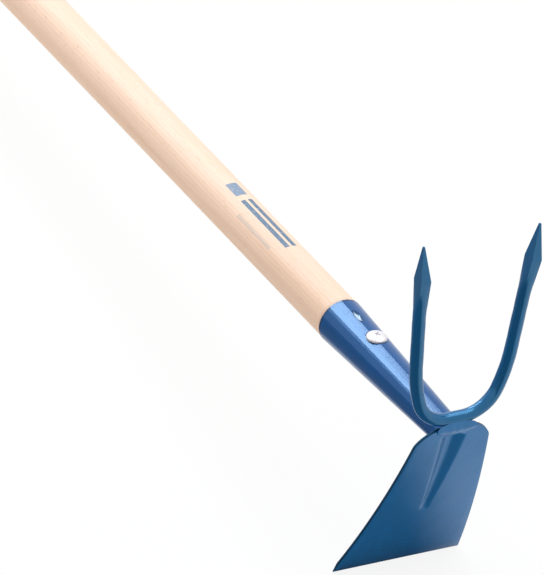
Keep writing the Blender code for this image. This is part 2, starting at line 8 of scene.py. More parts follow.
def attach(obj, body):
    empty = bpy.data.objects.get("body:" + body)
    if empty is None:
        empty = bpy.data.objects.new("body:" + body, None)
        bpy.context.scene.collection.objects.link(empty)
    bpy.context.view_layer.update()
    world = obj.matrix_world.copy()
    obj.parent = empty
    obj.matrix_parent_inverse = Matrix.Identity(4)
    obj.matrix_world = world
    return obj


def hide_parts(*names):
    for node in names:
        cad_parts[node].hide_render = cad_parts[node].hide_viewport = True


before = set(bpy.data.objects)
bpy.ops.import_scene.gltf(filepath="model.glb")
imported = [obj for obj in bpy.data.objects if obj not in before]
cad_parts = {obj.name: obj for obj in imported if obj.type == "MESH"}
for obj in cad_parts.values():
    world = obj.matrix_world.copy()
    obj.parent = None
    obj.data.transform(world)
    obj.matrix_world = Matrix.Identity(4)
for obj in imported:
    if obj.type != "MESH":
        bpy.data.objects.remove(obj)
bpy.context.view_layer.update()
scene = bpy.context.scene

# All lengths are in metres, and all colours are linear
# The head frame of the CAD source: X across, Y along the shaft, Z to the fork side
HEAD_TILT = math.radians(4.391844079716757)
HEAD_ORIGIN = Vector((0.0, -0.66914767, 0.11733959))
HEAD_MATRIX = Matrix.Translation(HEAD_ORIGIN) @ Matrix.Rotation(-HEAD_TILT, 4, "X")

# Sizes that repeat the CAD source and serve more than one piece
GAP = 0.0003
SHAFT_RADIUS = 0.015
SOCKET_LENGTH = 0.139
SOCKET_MOUTH_RADIUS = 0.0154
SOCKET_HEAD_RADIUS = 0.0095
BAR_DIAMETER = 0.0085

# Camera: far away, and the 543 pixels of the frame's width show VIEW_WIDTH at the head
CAMERA_RIGHT = Vector((0.861068, -0.482899, 0.159282))
CAMERA_UP = Vector((0.176809, 0.578035, 0.796627))
CAMERA_DISTANCE = 12.0
CAMERA_CLIP = (0.1, 100.0)
SENSOR_WIDTH = 36.0
VIEW_WIDTH = 0.330115
VIEW_CENTRE_RIGHT = -0.110762
VIEW_CENTRE_UP = 0.09191


def make_camera():
    back = CAMERA_RIGHT.cross(CAMERA_UP).normalized()
    right = CAMERA_UP.cross(back).normalized()
    up = back.cross(right)
    target = HEAD_ORIGIN + CAMERA_RIGHT * VIEW_CENTRE_RIGHT + CAMERA_UP * VIEW_CENTRE_UP
    data = bpy.data.cameras.new("camera")
    data.sensor_fit = "HORIZONTAL"
    data.sensor_width = SENSOR_WIDTH
    data.lens = SENSOR_WIDTH * CAMERA_DISTANCE / VIEW_WIDTH
    data.clip_start, data.clip_end = CAMERA_CLIP
    camera = bpy.data.objects.new("camera", data)
    scene.collection.objects.link(camera)
    turn = Matrix((right, up, back)).transposed().to_4x4()
    camera.matrix_world = Matrix.Translation(target + back * CAMERA_DISTANCE) @ turn
    scene.camera = camera


# Sockets of the mix node when it mixes colours
MIX_FACTOR = 0
MIX_FIRST = 6
MIX_SECOND = 7
MIX_RESULT = 2
# An ellipse is on the socket's top only: below this height its distance is far outside
ELLIPSE_TOP = 0.001
ELLIPSE_OUTSIDE = 9.0


class Shader:
    """A small helper that adds and links shader nodes of one material or world."""

    def __init__(self, owner):
        owner.use_nodes = True
        self.tree = owner.node_tree
        self.tree.nodes.clear()

    def add(self, kind, **values):
        node = self.tree.nodes.new(kind)
        for name, value in values.items():
            setattr(node, name, value)
        return node

    def link(self, source, target):
        self.tree.links.new(source, target)

    def set(self, node, socket, value):
        if isinstance(value, bpy.types.NodeSocket):
            self.link(value, node.inputs[socket])
        else:
            node.inputs[socket].default_value = value

    def math(self, operation, a, b=None):
        node = self.add("ShaderNodeMath", operation=operation)
        self.set(node, 0, a)
        if b is not None:
            self.set(node, 1, b)
        return node.outputs[0]

    def mix(self, factor, a, b):
        node = self.add("ShaderNodeMix", data_type="RGBA")
        self.set(node, MIX_FACTOR, factor)
        self.set(node, MIX_FIRST, a)
        self.set(node, MIX_SECOND, b)
        return node.outputs[MIX_RESULT]

    def ramp(self, value, low, high, to_low=0.0, to_high=1.0, smooth=False):
        node = self.add("ShaderNodeMapRange", clamp=True)
        if smooth:
            node.interpolation_type = "SMOOTHSTEP"
        self.set(node, 0, value)
        for index, number in enumerate((low, high, to_low, to_high)):
            node.inputs[index + 1].default_value = number
        return node.outputs[0]

    def layer(self, colour, value, limits, tint):
        """A colour with a tint mixed in by a value's ramp."""
        return self.mix(self.ramp(value, *limits), colour, tint)

    def band(self, value, limits, edge):
        """One between two limits and zero outside, with soft edges."""
        rise = self.ramp(value, limits[0] - edge, limits[0] + edge)
        fall = self.ramp(value, limits[1] - edge, limits[1] + edge, 1.0, 0.0)
        return self.math("MULTIPLY", rise, fall)

    def separate(self, vector):
        node = self.add("ShaderNodeSeparateXYZ")
        self.link(vector, node.inputs[0])
        return node.outputs

    def ellipse(self, head, y, half_length, half_width):
        """Distance from the middle of an ellipse on the socket's top, one at its edge."""
        place = self.separate(head)
        across = self.math("DIVIDE", place["X"], half_width)
        along = self.math("DIVIDE", self.math("SUBTRACT", place["Y"], y), half_length)
        across_squared = self.math("MULTIPLY", across, across)
        along_squared = self.math("MULTIPLY", along, along)
        distance = self.math("ADD", across_squared, along_squared)
        outside = self.ramp(place["Z"], 0.0, ELLIPSE_TOP, ELLIPSE_OUTSIDE, 0.0)
        return self.math("ADD", self.math("SQRT", distance), outside)

    def head_coordinates(self):
        """Position in the head frame."""
        coordinates = self.add("ShaderNodeTexCoord")
        mapping = self.add("ShaderNodeMapping", vector_type="TEXTURE")
        mapping.inputs["Location"].default_value = HEAD_ORIGIN
        mapping.inputs["Rotation"].default_value = (-HEAD_TILT, 0.0, 0.0)
        self.link(coordinates.outputs["Object"], mapping.inputs["Vector"])
        return mapping.outputs[0]

    def noise(self, vector, scale, detail, roughness, distortion=0.0):
        node = self.add("ShaderNodeTexNoise")
        self.link(vector, node.inputs["Vector"])
        node.inputs["Scale"].default_value = scale
        node.inputs["Detail"].default_value = detail
        node.inputs["Roughness"].default_value = roughness
        node.inputs["Distortion"].default_value = distortion
        return node.outputs["Fac"]

    def grain(self, vector, stretch, *noise):
        """Noise that is stretched along the shaft."""
        node = self.add("ShaderNodeVectorMath", operation="MULTIPLY")
        self.link(vector, node.inputs[0])
        node.inputs[1].default_value = (1.0, stretch, 1.0)
        return self.noise(node.outputs[0], *noise)

    def bump(self, height, distance, strength, normal=None):
        node = self.add("ShaderNodeBump")
        node.inputs["Strength"].default_value = strength
        node.inputs["Distance"].default_value = distance
        self.link(height, node.inputs["Height"])
        if normal is not None:
            self.link(normal, node.inputs["Normal"])
        return node.outputs[0]

    def finish(self, shader, kind="ShaderNodeOutputMaterial"):
        self.link(shader.outputs[0], self.add(kind).inputs[0])

    def principled(self, **values):
        shader = self.add("ShaderNodeBsdfPrincipled")
        for name, value in values.items():
            self.set(shader, name.replace("_", " "), value)
        self.finish(shader)

    def rays(self):
        """One for the camera's own rays, and one for rays from a reflection or through glass."""
        path = self.add("ShaderNodeLightPath").outputs
        mirrored = self.math("MAXIMUM", path["Is Glossy Ray"], path["Is Transmission Ray"])
        return path["Is Camera Ray"], mirrored


def new_material(name):
    material = bpy.data.materials.new(name)
    return material, Shader(material)


# Wood grain: stretch along the shaft, scale to a metre, detail, roughness and distortion
RING_GRAIN = (0.03, 150.0, 3.0, 0.55, 0.3)
FIBRE_GRAIN = (0.02, 1400.0, 2.0, 0.6)
FLECK_GRAIN = (0.14, 1500.0, 1.0, 0.5)
PATCH_GRAIN = (0.1, 30.0, 2.0, 0.5)
WEAR_GRAIN = (0.3, 2200.0, 2.0, 0.6)
# Wood colours: the ramp over the grain (from, to, share at from, share at to), and the tint
WOOD_COLOUR = (0.945, 0.680, 0.515, 1.0)
RING_LAYER = ((0.35, 0.68, 0.0, 1.0), (0.870, 0.585, 0.415, 1.0))
PATCH_LAYER = ((0.35, 0.7, 0.0, 0.4), (0.955, 0.72, 0.585, 1.0))
FIBRE_LAYER = ((0.5, 0.8, 0.0, 0.45), (0.80, 0.53, 0.365, 1.0))
FLECK_LAYER = ((0.66, 0.74, 0.0, 0.4), (0.55, 0.35, 0.22, 1.0))
WOOD_ROUGHNESS_RAMP = (0.3, 0.8, 0.42, 0.6)
WOOD_GLOSS = 0.35
FLECK_HEIGHT = -0.5
WOOD_BUMP = (0.00008, 0.6)
# Plain printed bars on the shaft: place along the shaft, place round it
PRINT_LONG = (0.2035, 0.2595)
PRINT_SHORT = (0.2650, 0.2790)
PRINT_UPPER = (0.0009, 0.0040)
PRINT_LOWER = (-0.0040, -0.0009)
PRINT_FAINT_LONG = (0.211, 0.251)
PRINT_FAINT_ROUND = (-0.0128, -0.0104)
PRINT_EDGE = 0.0002
PRINT_WEAR_RAMP = (0.28, 0.45, 0.35, 1.0)
# Cover and colour of the printed bars, of the block and of the faint bar
PRINT_BARS = (0.92, (0.035, 0.15, 0.27, 1.0))
PRINT_BLOCK = (0.88, (0.12, 0.25, 0.40, 1.0))
PRINT_FAINT = (0.4, (0.40, 0.42, 0.42, 1.0))


def make_wood():
    material, s = new_material("wood_look")
    head = s.head_coordinates()
    rings = s.grain(head, *RING_GRAIN)
    fibres = s.grain(head, *FIBRE_GRAIN)
    flecks = s.grain(head, *FLECK_GRAIN)
    patches = s.grain(head, *PATCH_GRAIN)
    colour = s.layer(WOOD_COLOUR, rings, *RING_LAYER)
    colour = s.layer(colour, patches, *PATCH_LAYER)
    colour = s.layer(colour, fibres, *FIBRE_LAYER)
    colour = s.layer(colour, flecks, *FLECK_LAYER)
    place = s.separate(head)
    along = place["Y"]
    around = s.math("MULTIPLY", s.math("ARCTAN2", place["X"], place["Z"]), SHAFT_RADIUS)
    worn = s.ramp(s.grain(head, *WEAR_GRAIN), *PRINT_WEAR_RAMP)
    upper = s.band(around, PRINT_UPPER, PRINT_EDGE)
    lower = s.band(around, PRINT_LOWER, PRINT_EDGE)
    bars = s.math("MULTIPLY", s.math("MAXIMUM", upper, lower), s.band(along, PRINT_LONG, PRINT_EDGE))
    block = s.math("MULTIPLY", s.band(around, (PRINT_LOWER[0], PRINT_UPPER[1]), PRINT_EDGE),
                   s.band(along, PRINT_SHORT, PRINT_EDGE))
    faint = s.math("MULTIPLY", s.band(around, PRINT_FAINT_ROUND, PRINT_EDGE),
                   s.band(along, PRINT_FAINT_LONG, PRINT_EDGE))
    for shape, (cover, tint) in ((bars, PRINT_BARS), (block, PRINT_BLOCK), (faint, PRINT_FAINT)):
        share = s.math("MULTIPLY", s.math("MULTIPLY", shape, worn), cover)
        colour = s.mix(share, colour, tint)
    height = s.math("ADD", fibres, s.math("MULTIPLY", flecks, FLECK_HEIGHT))
    s.principled(Base_Color=colour, Roughness=s.ramp(fibres, *WOOD_ROUGHNESS_RAMP),
                 Specular_IOR_Level=WOOD_GLOSS, Normal=s.bump(height, *WOOD_BUMP))
    return material


# Paint: noises as scale to a metre, detail and roughness
TONE_NOISE = (28.0, 3.0, 0.55)
PEEL_NOISE = (900.0, 1.0, 0.5)
WAVE_NOISE = (140.0, 2.0, 0.5)
DENT_NOISE = (1.0, 0.4)
TONE_LIMITS = (0.3, 0.7)
TONE_ROUGHNESS_LIMITS = (0.25, 0.75)
ROUGHNESS_BELOW = 0.04
ROUGHNESS_ABOVE = 0.05
PEEL_SHARE = 0.25
RIPPLE_HEIGHT = 0.00012
PAINT_IOR = 1.8
PAINT_GLOSS = 0.75
PAINT_TINT = (0.26, 0.66, 1.0, 1.0)
# Painted highlight and painted shade in the socket's nick: a pale spot for light on its far wall, inside
# a dark ring for shade in the recess; centre along the socket, half length and half width
NICK_Y = SOCKET_LENGTH - 0.0182
NICK_GLINT = (0.0050, 0.0012)
NICK_SHADE_RING = (0.0068, 0.0026)
NICK_GLINT_LAYER = ((0.7, 1.1, 0.85, 0.0), (0.62, 0.74, 0.84, 1.0))
NICK_SHADE_RING_LAYER = ((0.75, 1.05, 0.8, 0.0), (0.001, 0.025, 0.09, 1.0))
# Painted shade: the paint is darker along the rolled rim of the mouth, where the rim's edge is in shade
MOUTH_SHADE_LAYER = ((SOCKET_LENGTH - 0.0022, SOCKET_LENGTH - 0.0012, 0.0, 0.8), (0.001, 0.022, 0.07, 1.0))


def make_paint(name, blues, roughness, gloss=PAINT_GLOSS, tint=PAINT_TINT, ripple=0.5, dents=None,
               with_nick=False):
    """Gloss paint; dents are their depth and their scale to a metre."""
    material, s = new_material(name)
    head = s.head_coordinates()
    tone = s.noise(head, *TONE_NOISE)
    peel = s.noise(head, *PEEL_NOISE)
    waves = s.noise(head, *WAVE_NOISE)
    colour = s.mix(s.ramp(tone, *TONE_LIMITS), *blues)
    if with_nick:
        # Painted shade round the nick and a painted highlight in it
        colour = s.layer(colour, s.ellipse(head, NICK_Y, *NICK_SHADE_RING), *NICK_SHADE_RING_LAYER)
        colour = s.layer(colour, s.ellipse(head, NICK_Y, *NICK_GLINT), *NICK_GLINT_LAYER)
        # Painted shade along the mouth's rim
        colour = s.layer(colour, s.separate(head)["Y"], *MOUTH_SHADE_LAYER)
    height = s.math("ADD", s.math("MULTIPLY", peel, PEEL_SHARE), waves)
    normal = s.bump(height, RIPPLE_HEIGHT, ripple)
    if dents:
        depth, scale = dents
        normal = s.bump(s.noise(head, scale, *DENT_NOISE), depth, 1.0, normal)
    rough = s.ramp(tone, *TONE_ROUGHNESS_LIMITS, roughness - ROUGHNESS_BELOW, roughness + ROUGHNESS_ABOVE)
    s.principled(Base_Color=colour, Roughness=rough, IOR=PAINT_IOR, Specular_IOR_Level=gloss,
                 Specular_Tint=tint, Normal=normal)
    return material


# Zinc on the screw
SPANGLE_NOISE = (900.0, 2.0, 0.6)
ZINC_COLOUR = (0.84, 0.79, 0.80, 1.0)
SPANGLE_LAYER = ((0.35, 0.7, 0.0, 1.0), (0.70, 0.68, 0.71, 1.0))
ZINC_METALLIC = 0.45
ZINC_ROUGHNESS_RAMP = (0.3, 0.7, 0.30, 0.44)
ZINC_BUMP = (0.00003, 0.5)


def make_zinc():
    material, s = new_material("zinc_look")
    spangle = s.noise(s.head_coordinates(), *SPANGLE_NOISE)
    colour = s.layer(ZINC_COLOUR, spangle, *SPANGLE_LAYER)
    s.principled(Base_Color=colour, Metallic=ZINC_METALLIC,
                 Roughness=s.ramp(spangle, *ZINC_ROUGHNESS_RAMP), Normal=s.bump(spangle, *ZINC_BUMP))
    return material


def add_piece(name, bm, material, node, smooth_degrees):
    """A detailed piece in head frame coordinates that stands for a CAD node."""
    bmesh.ops.recalc_face_normals(bm, faces=bm.faces)
    mesh = bpy.data.meshes.new(name)
    bm.to_mesh(mesh)
    bm.free()
    mesh.transform(HEAD_MATRIX)
    mesh.materials.append(material)
    mesh.shade_smooth()
    mesh.set_sharp_from_angle(angle=math.radians(smooth_degrees))
    piece = bpy.data.objects.new(name, mesh)
    scene.collection.objects.link(piece)
    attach(piece, "root")
    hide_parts(node)
    return piece


def bridge(bm, rows):
    """Faces between neighbouring rings of vertices, and a face over each end."""
    for first, second in zip(rows, rows[1:]):
        for k in range(len(first)):
            n = (k + 1) % len(first)
            bm.faces.new((first[k], first[n], second[n], second[k]))
    bm.faces.new(rows[0])
    bm.faces.new(rows[-1])


# Blade, as in the CAD source: distances t run down the outer face from the socket axis level
BLADE_THICKNESS = 0.002
BLADE_FACE_Y = 0.0005
BLADE_FACE_Z = 0.0012
BLADE_HEIGHT_BELOW = 0.1232
BLADE_LEAN_TOP = math.radians(13.9)
BLADE_LEAN_GAIN = math.radians(12.0)
BLADE_EDGE_WIDTH = 0.0892
BLADE_SHOULDER_WIDTH = 0.0532
BLADE_TOP_WIDTH = 0.024
BLADE_SHOULDER_DROP = 0.01355
BLADE_SHOULDER_POWER = 1.5
BLADE_GRIND_HEIGHT = 0.007
BLADE_EDGE_THICKNESS_FACTOR = 0.3
BLADE_CURVATURE = BLADE_LEAN_GAIN / BLADE_HEIGHT_BELOW
BLADE_MEAN_LEAN = BLADE_LEAN_TOP + BLADE_LEAN_GAIN / 2
# Rounding of the rim, where two faces meet at more than this angle
BLADE_ROUNDING = 0.0005
BLADE_ROUNDING_SEGMENTS = 3
BLADE_ROUNDING_DEGREES = 55.0
BLADE_SMOOTH_DEGREES = 40.0
# Faces that look less than this along the sheet's normal are its sheared rim
BLADE_RIM_FACING = 0.8
# The painted shade on the sheared rim ends this far above the cutting edge
BLADE_RIM_SHADE_CLEAR = 0.0015
# Columns on each half of the groove and on each side of it, and rows from the shoulder down
BLADE_GROOVE_COLUMNS = 22
BLADE_SIDE_COLUMNS = 7
BLADE_SHOULDER_DEGREES = range(0, 91, 5)
GROOVE_START_ROWS = 8
GROOVE_TAPER_ROWS = 20
GROOVE_END_ROWS = 10
BLADE_LOWER_ROWS = 12

# Groove in the blade
GROOVE_TOP_HALF_WIDTH = 0.0103
GROOVE_END_HALF_WIDTH = 0.0042
GROOVE_DEPTH = 0.0035
GROOVE_END_DEPTH = 0.0013
GROOVE_START = -0.0022
GROOVE_FULL = 0.0014
GROOVE_TAPER_END = 0.0610
GROOVE_END = 0.0700
# Exponent that fits a cosine bell to the groove's cross-section
GROOVE_BELL_POWER = 1.15

# Fork, as in the CAD source
FORK_FOOT_Y = 0.002
FORK_FLAT_HALF = 0.0048
FORK_TIGHT_RADIUS = 0.0242
FORK_TIGHT_TURN = math.radians(70.0)
FORK_WIDE_RADIUS = 0.108
FORK_TOTAL_TURN = math.radians(85.2)
FORK_RISE = 0.1316
FORK_TILT = math.radians(0.5)
POINT_LENGTH = 0.0235
POINT_HALF_WIDTH = 0.0035
POINT_HALF_DEPTH = 0.0045
POINT_FORWARD = 0.0014
POINT_TIP_FORWARD = 0.0006
POINT_FLARE_LENGTH = 0.027
POINT_TIP_FACTOR = 0.15
# How the round bar turns into the forged point
POINT_FLARE_POWER = 1.15
POINT_FLARE_BULGE = 0.25
# The bar is this share thinner at most; its waves are size, turns along and across, and start
BAR_UNEVEN = 0.035
BAR_WAVES = ((0.3, 330.0, 150.0, 0.0), (0.2, 710.0, -260.0, 1.7))
BAR_SEGMENTS = 40
TIGHT_STEPS = 26
WIDE_STEPS = 10
STRAIGHT_STEPS = 12
FLARE_STEPS = 12
FORK_SMOOTH_DEGREES = 30.0

# Front weld bead, a little thinner than the CAD's and with its foot further down the blade
BEAD_HALF_LENGTH = 0.0140
BEAD_THICKNESS = 0.0022
BEAD_FOOT = -0.0014
# Depth that the bead is sunk into the bar and the blade
BEAD_SINK = 0.0001
# The bead's surface waves along its length, at this pitch and with this drift
BEAD_WAVE = 0.00012
BEAD_WAVE_TURNS = 900.0
BEAD_DRIFT = 1.3
BEAD_DRIFT_TURNS = 310.0
BEAD_PROFILE_STEPS = 14
BEAD_PROFILE_POWER = 1.5
# The ends shrink towards this height in the bead's thickness
BEAD_ROOT = 0.7
BEAD_END_SHRINK = 0.25
BEAD_END_POWER = 2.2
# Angles round the bar where the bead touches it
BEAD_CONTACT_DEGREES = (186, 193, 200, 208, 215, 222, 230)
BEAD_STEPS = 56
BEAD_SMOOTH_DEGREES = 50.0


def socket_outer_radius(y):
    return SOCKET_HEAD_RADIUS + (SOCKET_MOUTH_RADIUS - SOCKET_HEAD_RADIUS) * y / SOCKET_LENGTH


def fork_foot_height():
    return socket_outer_radius(FORK_FOOT_Y) + GAP + BAR_DIAMETER / 2


def blade_height_above():
    room = fork_foot_height() - BAR_DIAMETER / 2 - GAP - BLADE_FACE_Z
    return (room - BLADE_THICKNESS * math.sin(BLADE_LEAN_TOP)) / math.cos(BLADE_LEAN_TOP)


def blade_point(t, out=0.0):
    """Point (y, z) at distance t down the outer face, moved outward by out."""
    lean = BLADE_LEAN_TOP + BLADE_CURVATURE * t
    y = BLADE_FACE_Y + (math.cos(BLADE_LEAN_TOP) - math.cos(lean)) / BLADE_CURVATURE
    z = BLADE_FACE_Z - (math.sin(lean) - math.sin(BLADE_LEAN_TOP)) / BLADE_CURVATURE
    return y - out * math.cos(lean), z - out * math.sin(lean)


def blade_half_width(t):
    shoulder_t = BLADE_SHOULDER_DROP - blade_height_above()
    shoulder = BLADE_SHOULDER_WIDTH / 2
    if t >= shoulder_t:
        share = (t - shoulder_t) / (BLADE_HEIGHT_BELOW - shoulder_t)
        return shoulder + (BLADE_EDGE_WIDTH / 2 - shoulder) * share
    rise = (shoulder_t - t) / BLADE_SHOULDER_DROP
    bulge = max(0.0, 1 - rise ** BLADE_SHOULDER_POWER) ** (1 / BLADE_SHOULDER_POWER)
    return BLADE_TOP_WIDTH / 2 + (shoulder - BLADE_TOP_WIDTH / 2) * bulge


def groove_half_width(t):
    share = min(max(t / GROOVE_TAPER_END, 0.0), 1.0)
    return GROOVE_TOP_HALF_WIDTH + (GROOVE_END_HALF_WIDTH - GROOVE_TOP_HALF_WIDTH) * share


def groove_depth(t):
    if t <= GROOVE_START or t >= GROOVE_END:
        return 0.0
    if t < GROOVE_FULL:
        share = (t - GROOVE_START) / (GROOVE_FULL - GROOVE_START)
        return GROOVE_DEPTH * (1 - math.cos(share * math.pi)) / 2
    if t <= GROOVE_TAPER_END:
        share = (t - GROOVE_FULL) / (GROOVE_TAPER_END - GROOVE_FULL)
        return GROOVE_DEPTH + (GROOVE_END_DEPTH - GROOVE_DEPTH) * share
    share = (t - GROOVE_TAPER_END) / (GROOVE_END - GROOVE_TAPER_END)
    return GROOVE_END_DEPTH * (1 - share * share)


def groove_bell(q):
    """Share of the groove's depth at the share q of its half width."""
    return 0.5 * (1 + math.cos(math.pi * min(q, 1.0) ** GROOVE_BELL_POWER))


def groove_depth_at(x, t):
    return groove_depth(t) * groove_bell(abs(x) / groove_half_width(t))


def blade_rows():
    """Distances down the blade, closer together at the shoulder and at the groove's ends."""
    above = blade_height_above()
    grind = BLADE_HEIGHT_BELOW - BLADE_GRIND_HEIGHT
    marks = [BLADE_HEIGHT_BELOW]
    for angle in BLADE_SHOULDER_DEGREES:
        rise = math.cos(math.radians(angle)) ** (2 / BLADE_SHOULDER_POWER)
        marks.append(BLADE_SHOULDER_DROP * (1 - rise) - above)
    for k in range(GROOVE_START_ROWS + 1):
        marks.append(GROOVE_START + (GROOVE_FULL - GROOVE_START) * k / GROOVE_START_ROWS)
    for k in range(1, GROOVE_TAPER_ROWS + 1):
        marks.append(GROOVE_TAPER_END * k / GROOVE_TAPER_ROWS)
    for k in range(1, GROOVE_END_ROWS + 1):
        marks.append(GROOVE_TAPER_END + (GROOVE_END - GROOVE_TAPER_END) * math.sqrt(k / GROOVE_END_ROWS))
    for k in range(1, BLADE_LOWER_ROWS + 1):
        marks.append(GROOVE_END + (grind - GROOVE_END) * k / BLADE_LOWER_ROWS)
    kept = []
    for mark in sorted(marks):
        if not kept or mark - kept[-1] > GAP:
            kept.append(mark)
    return kept


def blade_columns():
    """Columns from left to right: side, share of the groove, its depth there, share of the rest."""
    columns = []
    for k in range(-BLADE_GROOVE_COLUMNS, BLADE_GROOVE_COLUMNS + 1):
        q = abs(k) / BLADE_GROOVE_COLUMNS
        columns.append((math.copysign(1.0, k), q, groove_bell(q), 0.0))
    for k in range(1, BLADE_SIDE_COLUMNS + 1):
        columns.append((1.0, 1.0, 0.0, k / BLADE_SIDE_COLUMNS))
        columns.insert(0, (-1.0, 1.0, 0.0, k / BLADE_SIDE_COLUMNS))
    return columns


def blade_sheet():
    """The blade's outer face as a sheet, with the thickness below it kept as vertex weights."""
    bm = bmesh.new()
    thickness = bm.verts.layers.deform.verify()
    columns = blade_columns()
    marks = blade_rows()
    rows = []
    for t in marks:
        width = blade_half_width(t)
        groove = groove_half_width(t)
        row = []
        for sign, q, section, share in columns:
            x = sign * (groove * q + (width - groove) * share)
            vert = bm.verts.new((x, *blade_point(t, -groove_depth(t) * section)))
            vert[thickness][0] = 0.0 if t == marks[-1] else 1.0
            row.append(vert)
        rows.append(row)
    for first, second in zip(rows, rows[1:]):
        for k in range(len(first) - 1):
            bm.faces.new((first[k], second[k], second[k + 1], first[k + 1]))
    mesh = bpy.data.meshes.new("blade_sheet")
    bm.to_mesh(mesh)
    bm.free()
    sheet = bpy.data.objects.new("blade_sheet", mesh)
    scene.collection.objects.link(sheet)
    sheet.vertex_groups.new(name="thickness")
    return sheet


def make_blade(material, rim_shade_material):
    sheet = blade_sheet()
    shell = sheet.modifiers.new("thickness", "SOLIDIFY")
    shell.thickness = BLADE_THICKNESS
    shell.offset = -1.0
    shell.use_even_offset = True
    shell.vertex_group = "thickness"
    shell.thickness_vertex_group = BLADE_EDGE_THICKNESS_FACTOR
    rounding = sheet.modifiers.new("rounding", "BEVEL")
    rounding.width = BLADE_ROUNDING
    rounding.segments = BLADE_ROUNDING_SEGMENTS
    rounding.limit_method = "ANGLE"
    rounding.angle_limit = math.radians(BLADE_ROUNDING_DEGREES)
    solid = bmesh.new()
    solid.from_mesh(sheet.evaluated_get(bpy.context.evaluated_depsgraph_get()).to_mesh())
    bpy.data.objects.remove(sheet, do_unlink=True)
    across = Vector((0.0, -math.cos(BLADE_MEAN_LEAN), -math.sin(BLADE_MEAN_LEAN)))
    lowest = blade_point(BLADE_HEIGHT_BELOW - BLADE_RIM_SHADE_CLEAR)[1]
    solid.normal_update()
    # The sheared rim takes the rim paint, a darker copy that is painted shade on the sheet's edge
    for face in solid.faces:
        if abs(face.normal.dot(across)) < BLADE_RIM_FACING and face.calc_center_median().z > lowest:
            face.material_index = 1
    piece = add_piece("blade_detail", solid, material, "blade", BLADE_SMOOTH_DEGREES)
    piece.data.materials.append(rim_shade_material)


def fork_half_path():
    """Centre line of one prong from the middle out: x, rise over the socket axis, turn from level."""
    foot = fork_foot_height()
    path = [(0.0, foot, 0.0), (FORK_FLAT_HALF / 2, foot, 0.0), (FORK_FLAT_HALF, foot, 0.0)]
    for i in range(1, TIGHT_STEPS + 1):
        turn = FORK_TIGHT_TURN * i / TIGHT_STEPS
        path.append((FORK_FLAT_HALF + FORK_TIGHT_RADIUS * math.sin(turn),
                     foot + FORK_TIGHT_RADIUS * (1 - math.cos(turn)), turn))
    x0, z0, _ = path[-1]
    for i in range(1, WIDE_STEPS + 1):
        turn = FORK_TIGHT_TURN + (FORK_TOTAL_TURN - FORK_TIGHT_TURN) * i / WIDE_STEPS
        path.append((x0 + FORK_WIDE_RADIUS * (math.sin(turn) - math.sin(FORK_TIGHT_TURN)),
                     z0 + FORK_WIDE_RADIUS * (math.cos(FORK_TIGHT_TURN) - math.cos(turn)), turn))
    return path


def prong_steps(length):
    """Steps along a straight prong: distance, share of the point's shape, scale, forward."""
    shoulder = length - POINT_LENGTH
    reach = shoulder - POINT_FLARE_LENGTH
    steps = [(reach * k / STRAIGHT_STEPS, 0.0, 1.0, 0.0) for k in range(1, STRAIGHT_STEPS)]
    for k in range(FLARE_STEPS + 1):
        place = k / FLARE_STEPS
        share = place ** POINT_FLARE_POWER * (1.0 + POINT_FLARE_BULGE * place * (1.0 - place))
        steps.append((shoulder - POINT_FLARE_LENGTH * (1 - place), share, 1.0, POINT_FORWARD * share))
    steps.append((length, 1.0, POINT_TIP_FACTOR, POINT_TIP_FORWARD))
    return steps


def bar_section(blend, scale, forward):
    """Ring of (in-plane, through-plane) offsets between a round bar and a forged square."""
    ring = []
    for k in range(BAR_SEGMENTS):
        angle = math.tau * k / BAR_SEGMENTS
        u = math.cos(angle)
        v = math.sin(angle)
        reach = max(abs(u), abs(v))
        round_u = BAR_DIAMETER / 2 * u
        round_v = BAR_DIAMETER / 2 * v
        square_u = POINT_HALF_WIDTH * u / reach
        square_v = POINT_HALF_DEPTH * v / reach
        ring.append((scale * (round_u + (square_u - round_u) * blend),
                     scale * (round_v + (square_v - round_v) * blend) - forward))
    return ring


def unevenness(x, rise):
    """Smooth value from 0 to 1 along the bar, different on the two prongs."""
    return sum((size * math.sin(along * rise + across * x + start)
                for size, along, across, start in BAR_WAVES), 0.5)


def make_fork(material):
    half = [(x, rise, turn, 0.0, 1.0, 0.0) for x, rise, turn in fork_half_path()]
    x0, z0, turn = half[-1][:3]
    foot = fork_foot_height()
    for distance, *shape in prong_steps((foot + FORK_RISE - z0) / math.sin(turn)):
        half.append((x0 + distance * math.cos(turn), z0 + distance * math.sin(turn), turn, *shape))
    full = [(-x, rise, -turn, *rest) for x, rise, turn, *rest in reversed(half[1:])] + half
    lean = Matrix.Translation((0.0, FORK_FOOT_Y, foot)) @ Matrix.Rotation(-FORK_TILT, 4, "X")
    bm = bmesh.new()
    rows = []
    for x, rise, turn, blend, scale, forward in full:
        # The round bar is a little uneven, as hammered bar is
        scale *= 1 - BAR_UNEVEN * (1 - blend) * unevenness(x, rise)
        across = Vector((-math.sin(turn), 0.0, math.cos(turn)))
        centre = Vector((x, 0.0, rise - foot))
        rows.append([bm.verts.new(lean @ (centre + across * u + Vector((0.0, v, 0.0))))
                     for u, v in bar_section(blend, scale, forward)])
    bridge(bm, rows)
    add_piece("fork_detail", bm, material, "fork", FORK_SMOOTH_DEGREES)


def bar_at(x):
    """Centre height and steepness of the fork bar over the point x of its tight bend."""
    reach = max(0.0, abs(x) - FORK_FLAT_HALF)
    turn = math.asin(min(1.0, reach / FORK_TIGHT_RADIUS))
    return fork_foot_height() + FORK_TIGHT_RADIUS * (1 - math.cos(turn)), turn


